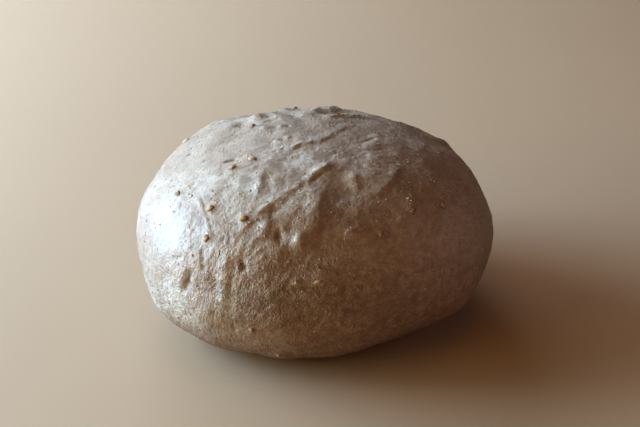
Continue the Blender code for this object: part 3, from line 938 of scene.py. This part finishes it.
def make_meal(finish):
    """Coarse meal: small uneven balls with few faces, half sunk in the skin."""
    draw = np.random.default_rng(MEAL_SEED)
    aims = scatter(MEAL_GRAINS, BITS_LOWEST, draw)
    count = len(aims)
    ball, faces = round_grid(MEAL_COLUMNS, MEAL_ROWS)
    place, east, north, up = skin_frame(aims)
    half = draw.uniform(*MEAL_LENGTHS, count) * draw.uniform(*MEAL_SHARES, count) * MM / 2
    sizes = half[:, None] * draw.uniform(*MEAL_ASPECTS, (count, 3))
    local = ball * sizes[:, None] * draw.uniform(*MEAL_UNEVEN, (count, len(ball), 1))
    axes = np.stack([east, north, up], axis=1)
    points = (place - up * sizes[:, 2:] * MEAL_SINK)[:, None] + local @ axes
    tone = np.repeat(draw.random(count), len(ball))
    every = repeat_faces(faces, len(ball), count)
    return new_mesh("coarse_meal", points, every, finish, tone=tone)


def feed(tree, socket, value):
    """Links an input to another socket, or sets its value."""
    if isinstance(value, bpy.types.NodeSocket):
        tree.links.new(value, socket)
    else:
        socket.default_value = value


def put(tree, kind, inputs=None, **settings):
    """A new node, with its settings and its inputs, which are sockets or values."""
    made = tree.nodes.new(kind)
    for name, value in settings.items():
        setattr(made, name, value)
    for name, value in (inputs or {}).items():
        feed(tree, made.inputs[name], value)
    return made


def sum_of(tree, operation, *terms, clamp=False):
    """One step of arithmetic on numbers or sockets."""
    made = put(tree, "ShaderNodeMath", dict(enumerate(terms)), operation=operation)
    made.use_clamp = clamp
    return made.outputs[0]


def product(tree, first, second, clamp=False):
    """Two numbers or sockets multiplied."""
    return sum_of(tree, "MULTIPLY", first, second, clamp=clamp)


def span(tree, value, low, high, to_low=0.0, to_high=1.0):
    """A value carried from one range to another, and kept inside it."""
    made = put(
        tree,
        "ShaderNodeMapRange",
        {"Value": value, "From Min": low, "From Max": high, "To Min": to_low, "To Max": to_high},
    )
    return made.outputs["Result"]


def blend(tree, share, first, second):
    """A mix of two colours by a share from 0 to 1."""
    made = put(tree, "ShaderNodeMix", data_type="RGBA")
    colours = [socket for socket in made.inputs if socket.type == "RGBA"]
    for socket, value in ((made.inputs[0], share), (colours[0], first), (colours[1], second)):
        feed(tree, socket, value)
    return next(socket for socket in made.outputs if socket.type == "RGBA")


def attribute(tree, name):
    """The number that the mesh holds by this name at each point."""
    return put(tree, "ShaderNodeAttribute", attribute_name=name).outputs["Fac"]


def clouds(tree, place, scale, detail):
    """Smooth noise from 0 to 1, mostly near 0.5."""
    noise_inputs = {"Vector": place, "Scale": scale, "Detail": detail}
    return put(tree, "ShaderNodeTexNoise", noise_inputs).outputs["Fac"]


def new_group(name, inputs, outputs):
    """A shader node group with these sockets, and its input and output nodes."""
    group = bpy.data.node_groups.new(name, "ShaderNodeTree")
    for label, kind, value in inputs:
        socket = group.interface.new_socket(label, in_out="INPUT", socket_type=kind)
        if value is not None:
            socket.default_value = value
    for label, kind in outputs:
        group.interface.new_socket(label, in_out="OUTPUT", socket_type=kind)
    return group, group.nodes.new("NodeGroupInput"), group.nodes.new("NodeGroupOutput")


def speck_group():
    """Specks: one in each cell of a Voronoi pattern, kept in a share of the cells. Its coordinates
    are bent by noise, so that the specks aren't round."""
    group, given, out = new_group(
        "specks",
        [
            ("Vector", "NodeSocketVector", None),
            ("Cells", "NodeSocketFloat", 600.0),
            ("Share", "NodeSocketFloat", 0.3),
            ("Size", "NodeSocketFloat", 0.4),
        ],
        [("Mask", "NodeSocketFloat")],
    )
    place = given.outputs["Vector"]
    wobble = put(group, "ShaderNodeTexNoise", {"Vector": place, "Scale": SPECK_WOBBLE_SCALE})
    moved = put(
        group,
        "ShaderNodeVectorMath",
        {0: wobble.outputs["Color"], "Scale": SPECK_WOBBLE},
        operation="SCALE",
    )
    bent = put(group, "ShaderNodeVectorMath", {0: place, 1: moved.outputs[0]}, operation="ADD")
    cells = put(
        group,
        "ShaderNodeTexVoronoi",
        {"Vector": bent.outputs[0], "Scale": given.outputs["Cells"]},
    )
    near = sum_of(group, "SUBTRACT", given.outputs["Size"], cells.outputs["Distance"])
    parts = put(group, "ShaderNodeSeparateColor", {"Color": cells.outputs["Color"]})
    kept = sum_of(group, "LESS_THAN", parts.outputs[0], given.outputs["Share"])
    mask = product(group, span(group, near, 0.0, SPECK_EDGE), kept)
    group.links.new(mask, out.inputs["Mask"])
    return group


def grain_group():
    """Fine unevenness of dough and grain: noise, and finer domes on it, as one height."""
    group, given, out = new_group(
        "fine_grain",
        [("Vector", "NodeSocketVector", None), ("Scale", "NodeSocketFloat", 700.0)],
        [("Height", "NodeSocketFloat")],
    )
    place, scale = given.outputs["Vector"], given.outputs["Scale"]
    noise_inputs = {
        "Vector": place,
        "Scale": scale,
        "Detail": GRAIN_DETAIL,
        "Roughness": GRAIN_NOISE_ROUGHNESS,
    }
    coarse = put(group, "ShaderNodeTexNoise", noise_inputs)
    finer = product(group, scale, DOMES_SCALE_SHARE)
    lumps = put(
        group, "ShaderNodeTexVoronoi", {"Vector": place, "Scale": finer}, feature="SMOOTH_F1"
    )
    domes = sum_of(group, "SUBTRACT", 1.0, lumps.outputs["Distance"])
    height = sum_of(group, "MULTIPLY_ADD", domes, DOMES_HEIGHT, coarse.outputs["Fac"])
    group.links.new(height, out.inputs["Height"])
    return group


def flour_group():
    """A trace of flour: powder in loose patches, with more where the surface faces up."""
    group, given, out = new_group(
        "flour_dust",
        [("Vector", "NodeSocketVector", None), ("Amount", "NodeSocketFloat", 0.3)],
        [("Mask", "NodeSocketFloat")],
    )
    place = given.outputs["Vector"]
    facing = put(group, "ShaderNodeNewGeometry")
    up = put(group, "ShaderNodeSeparateXYZ", {"Vector": facing.outputs["Normal"]})
    level = span(group, up.outputs["Z"], *FLOUR_FACING)
    loose = span(group, clouds(group, place, FLOUR_SCALE, FLOUR_DETAIL), *FLOUR_RANGE)
    speckled = span(group, clouds(group, place, POWDER_SCALE, POWDER_DETAIL), *POWDER_RANGE)
    mask = product(group, product(group, loose, speckled), level)
    mask = product(group, mask, given.outputs["Amount"], clamp=True)
    group.links.new(mask, out.inputs["Mask"])
    return group


def use_group(tree, group, **inputs):
    """A placed node group with its inputs."""
    return put(tree, "ShaderNodeGroup", inputs, node_tree=group).outputs[0]


def new_material(name):
    """A material, its node tree, its Principled shader and its Object coordinates."""
    made = bpy.data.materials.new(name)
    made.use_nodes = True
    tree = made.node_tree
    shader = tree.nodes["Principled BSDF"]
    place = put(tree, "ShaderNodeTexCoord").outputs["Object"]
    return made, tree, shader, place


def add_bump(tree, shader, height, distance):
    """Lets a height between 0 and 1 tilt the shader's normal, at this full height."""
    bump = put(tree, "ShaderNodeBump", {"Height": height, "Distance": distance, "Strength": 1.0})
    tree.links.new(bump.outputs[0], shader.inputs["Normal"])


def dough_colour(tree, place, rough, grain, specks, flour):
    """Grey brown in broad clouds, then dark patches, pale skin with painted highlights, mottling
    with painted shade in the fine pits, painted shade in the hollows, specks, painted shade round
    the grains and a trace of flour, each blended over the last."""
    broad = span(tree, clouds(tree, place, BROAD_SCALE, CLOUD_DETAIL), *BROAD_RANGE)
    colour = blend(tree, broad, *DOUGH_COLOURS)
    cloudy = clouds(tree, place, PATCH_SCALE, CLOUD_DETAIL)
    strength = span(tree, rough, 0.0, 1.0, *PATCH_STRENGTHS)
    patches = product(tree, span(tree, cloudy, *PATCH_RANGE), strength)
    colour = blend(tree, patches, colour, PATCH_COLOUR)
    # Pale dried or floury skin, and painted highlights on the crests and lumps that face the
    # light.
    pale = product(tree, attribute(tree, "pale"), span(tree, cloudy, *PALE_AND_HIGHLIGHT_RANGE), clamp=True)
    colour = blend(tree, pale, colour, PALE_AND_HIGHLIGHT_COLOUR)
    # Darker where the fine bumps are low: partly mottle, partly painted shade in their pits.
    mottle_and_pit_shade = product(tree, span(tree, grain, *MOTTLE_AND_PIT_SHADE_RANGE), strength)
    colour = blend(tree, mottle_and_pit_shade, colour, MOTTLE_AND_PIT_SHADE_COLOUR)
    # Painted shade, darker the deeper the fine relief sinks into hollows and pits.
    painted_hollow_shade = span(tree, attribute(tree, "fine"), *PAINTED_HOLLOW_SHADE_RANGE)
    colour = blend(tree, painted_hollow_shade, colour, PAINTED_HOLLOW_SHADE_COLOUR)
    flecks = span(tree, rough, 0.0, ROUGHEST, *FLECK_STRENGTHS)
    dark = use_group(tree, specks, Vector=place, **DARK_SPECKS)
    colour = blend(tree, product(tree, dark, flecks), colour, DARK_SPECK_COLOUR)
    tan = use_group(tree, specks, Vector=place, **TAN_SPECKS)
    colour = blend(tree, product(tree, tan, flecks), colour, TAN_SPECK_COLOUR)
    # Painted shade on the dough round each grain, as strong as the grain's rim.
    moat = product(tree, attribute(tree, "moat"), PAINTED_GRAIN_SHADE_SHARE)
    colour = blend(tree, moat, colour, PAINTED_GRAIN_SHADE_COLOUR)
    dust = use_group(tree, flour, Vector=place, Amount=FLOUR_AMOUNT)
    return blend(tree, dust, colour, FLOUR_COLOUR)


def dough_finish(specks, fine, flour):
    """Dark dough: painted shade in its hollows, its fine pits and round its grains, paler where it
    has dried or caught flour and where highlights are painted, with bran specks, a moist gloss,
    and bumps that are stronger where its texture is."""
    made, tree, shader, place = new_material("dough")
    rough = attribute(tree, "rough")
    grain = use_group(tree, fine, Vector=place, Scale=DOUGH_GRAIN_SCALE)
    colour = dough_colour(tree, place, rough, grain, specks, flour)
    tree.links.new(colour, shader.inputs["Base Color"])
    gloss = span(tree, grain, *GRAIN_RANGE, *DOUGH_GLOSS)
    tree.links.new(gloss, shader.inputs["Roughness"])
    height = product(tree, grain, span(tree, rough, 0.0, ROUGHEST, *BUMP_STRENGTHS))
    add_bump(tree, shader, height, DOUGH_BUMP)
    shader.inputs["Specular IOR Level"].default_value = DOUGH_SPECULAR
    return made


def bit_finish(name, fine, colours, gloss):
    """Grain, bran or meal: each bit's colour lies between two, by its tone, and is darker where
    its fine bumps are low, partly as painted shade.
    """
    made, tree, shader, place = new_material(name)
    colour = blend(tree, attribute(tree, "tone"), *colours)
    uneven = use_group(tree, fine, Vector=place, Scale=BIT_GRAIN_SCALE)
    # Darker where the fine bumps are low: partly mottle, partly painted shade in their pits.
    bit_mottle_and_pit_shade = span(tree, uneven, *GRAIN_RANGE, *BIT_MOTTLE_AND_PIT_SHADES)
    colour = blend(tree, bit_mottle_and_pit_shade, colour, colours[0])
    tree.links.new(colour, shader.inputs["Base Color"])
    tree.links.new(span(tree, uneven, *GRAIN_RANGE, *gloss), shader.inputs["Roughness"])
    add_bump(tree, shader, uneven, BIT_BUMP)
    return made


def floor_finish():
    """A pale floor in faint clouds."""
    made, tree, shader, place = new_material("floor")
    cloudy = put(tree, "ShaderNodeTexNoise", {"Vector": place, "Scale": FLOOR_SCALE})
    colour = blend(tree, cloudy.outputs["Fac"], *FLOOR_COLOURS)
    tree.links.new(colour, shader.inputs["Base Color"])
    shader.inputs["Roughness"].default_value = FLOOR_GLOSS
    return made


def make_floor():
    """A plain pale floor under the dough."""
    half = FLOOR_SIZE / 2
    corners = np.array([[-half, -half, 0], [half, -half, 0], [half, half, 0], [-half, half, 0]])
    floor = new_mesh("floor", corners, [[0, 1, 2, 3]], floor_finish())


def add_light(light):
    """A rectangular light that faces the ball's middle."""
    lamp = bpy.data.lights.new(light.name, "AREA")
    lamp.shape = "RECTANGLE"
    lamp.size = light.width
    lamp.size_y = light.height
    lamp.energy = light.power
    lamp.color = light.colour
    made = bpy.data.objects.new(light.name, lamp)
    aim = Vector(direction(light.azimuth, light.elevation).tolist())
    made.location = Vector((0, 0, BELLY_HEIGHT)) + aim * light.distance
    made.rotation_euler = aim.to_track_quat("Z", "Y").to_euler()
    bpy.context.scene.collection.objects.link(made)


def light_scene():
    """The lights, a weak warm glow all round, and the photograph's contrast."""
    for light in LIGHTS:
        add_light(light)
    world = bpy.data.worlds.new("room")
    world.use_nodes = True
    sky = world.node_tree.nodes["Background"]
    sky.inputs["Color"].default_value = WORLD_COLOUR
    sky.inputs["Strength"].default_value = WORLD_STRENGTH
    bpy.context.scene.world = world
    bpy.context.scene.view_settings.view_transform = "Standard"
    bpy.context.scene.view_settings.look = "High Contrast"


def add_camera():
    """The photograph's view: level, along +Y, and looking down."""
    camera = bpy.data.cameras.new("camera")
    camera.lens = LENS
    camera.sensor_width = SENSOR
    camera.clip_start = CLIP_START
    made = bpy.data.objects.new("camera", camera)
    back = Vector((0, -cos(CAMERA_RISE), sin(CAMERA_RISE)))
    made.location = Vector(CAMERA_TARGET) + back * CAMERA_DISTANCE
    made.rotation_euler = (pi / 2 - CAMERA_RISE, 0, 0)
    bpy.context.scene.collection.objects.link(made)
    bpy.context.scene.camera = made


def main():
    """Builds the pieces, which all ride on the one body, then the floor, lights and view."""
    specks = speck_group()
    fine = grain_group()
    flour = flour_group()
    skin = make_skin(dough_finish(specks, fine, flour))
    grains = make_grains(bit_finish("grain", fine, GRAIN_COLOURS, WHOLE_GRAIN_GLOSS))
    bran = make_bran(bit_finish("bran", fine, BRAN_COLOURS, BIT_GLOSS))
    meal = make_meal(bit_finish("meal", fine, MEAL_COLOURS, BIT_GLOSS))
    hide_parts("dough")
    for piece in (skin, grains, bran, meal):
        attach(piece, "root")
    make_floor()
    light_scene()
    add_camera()


main()
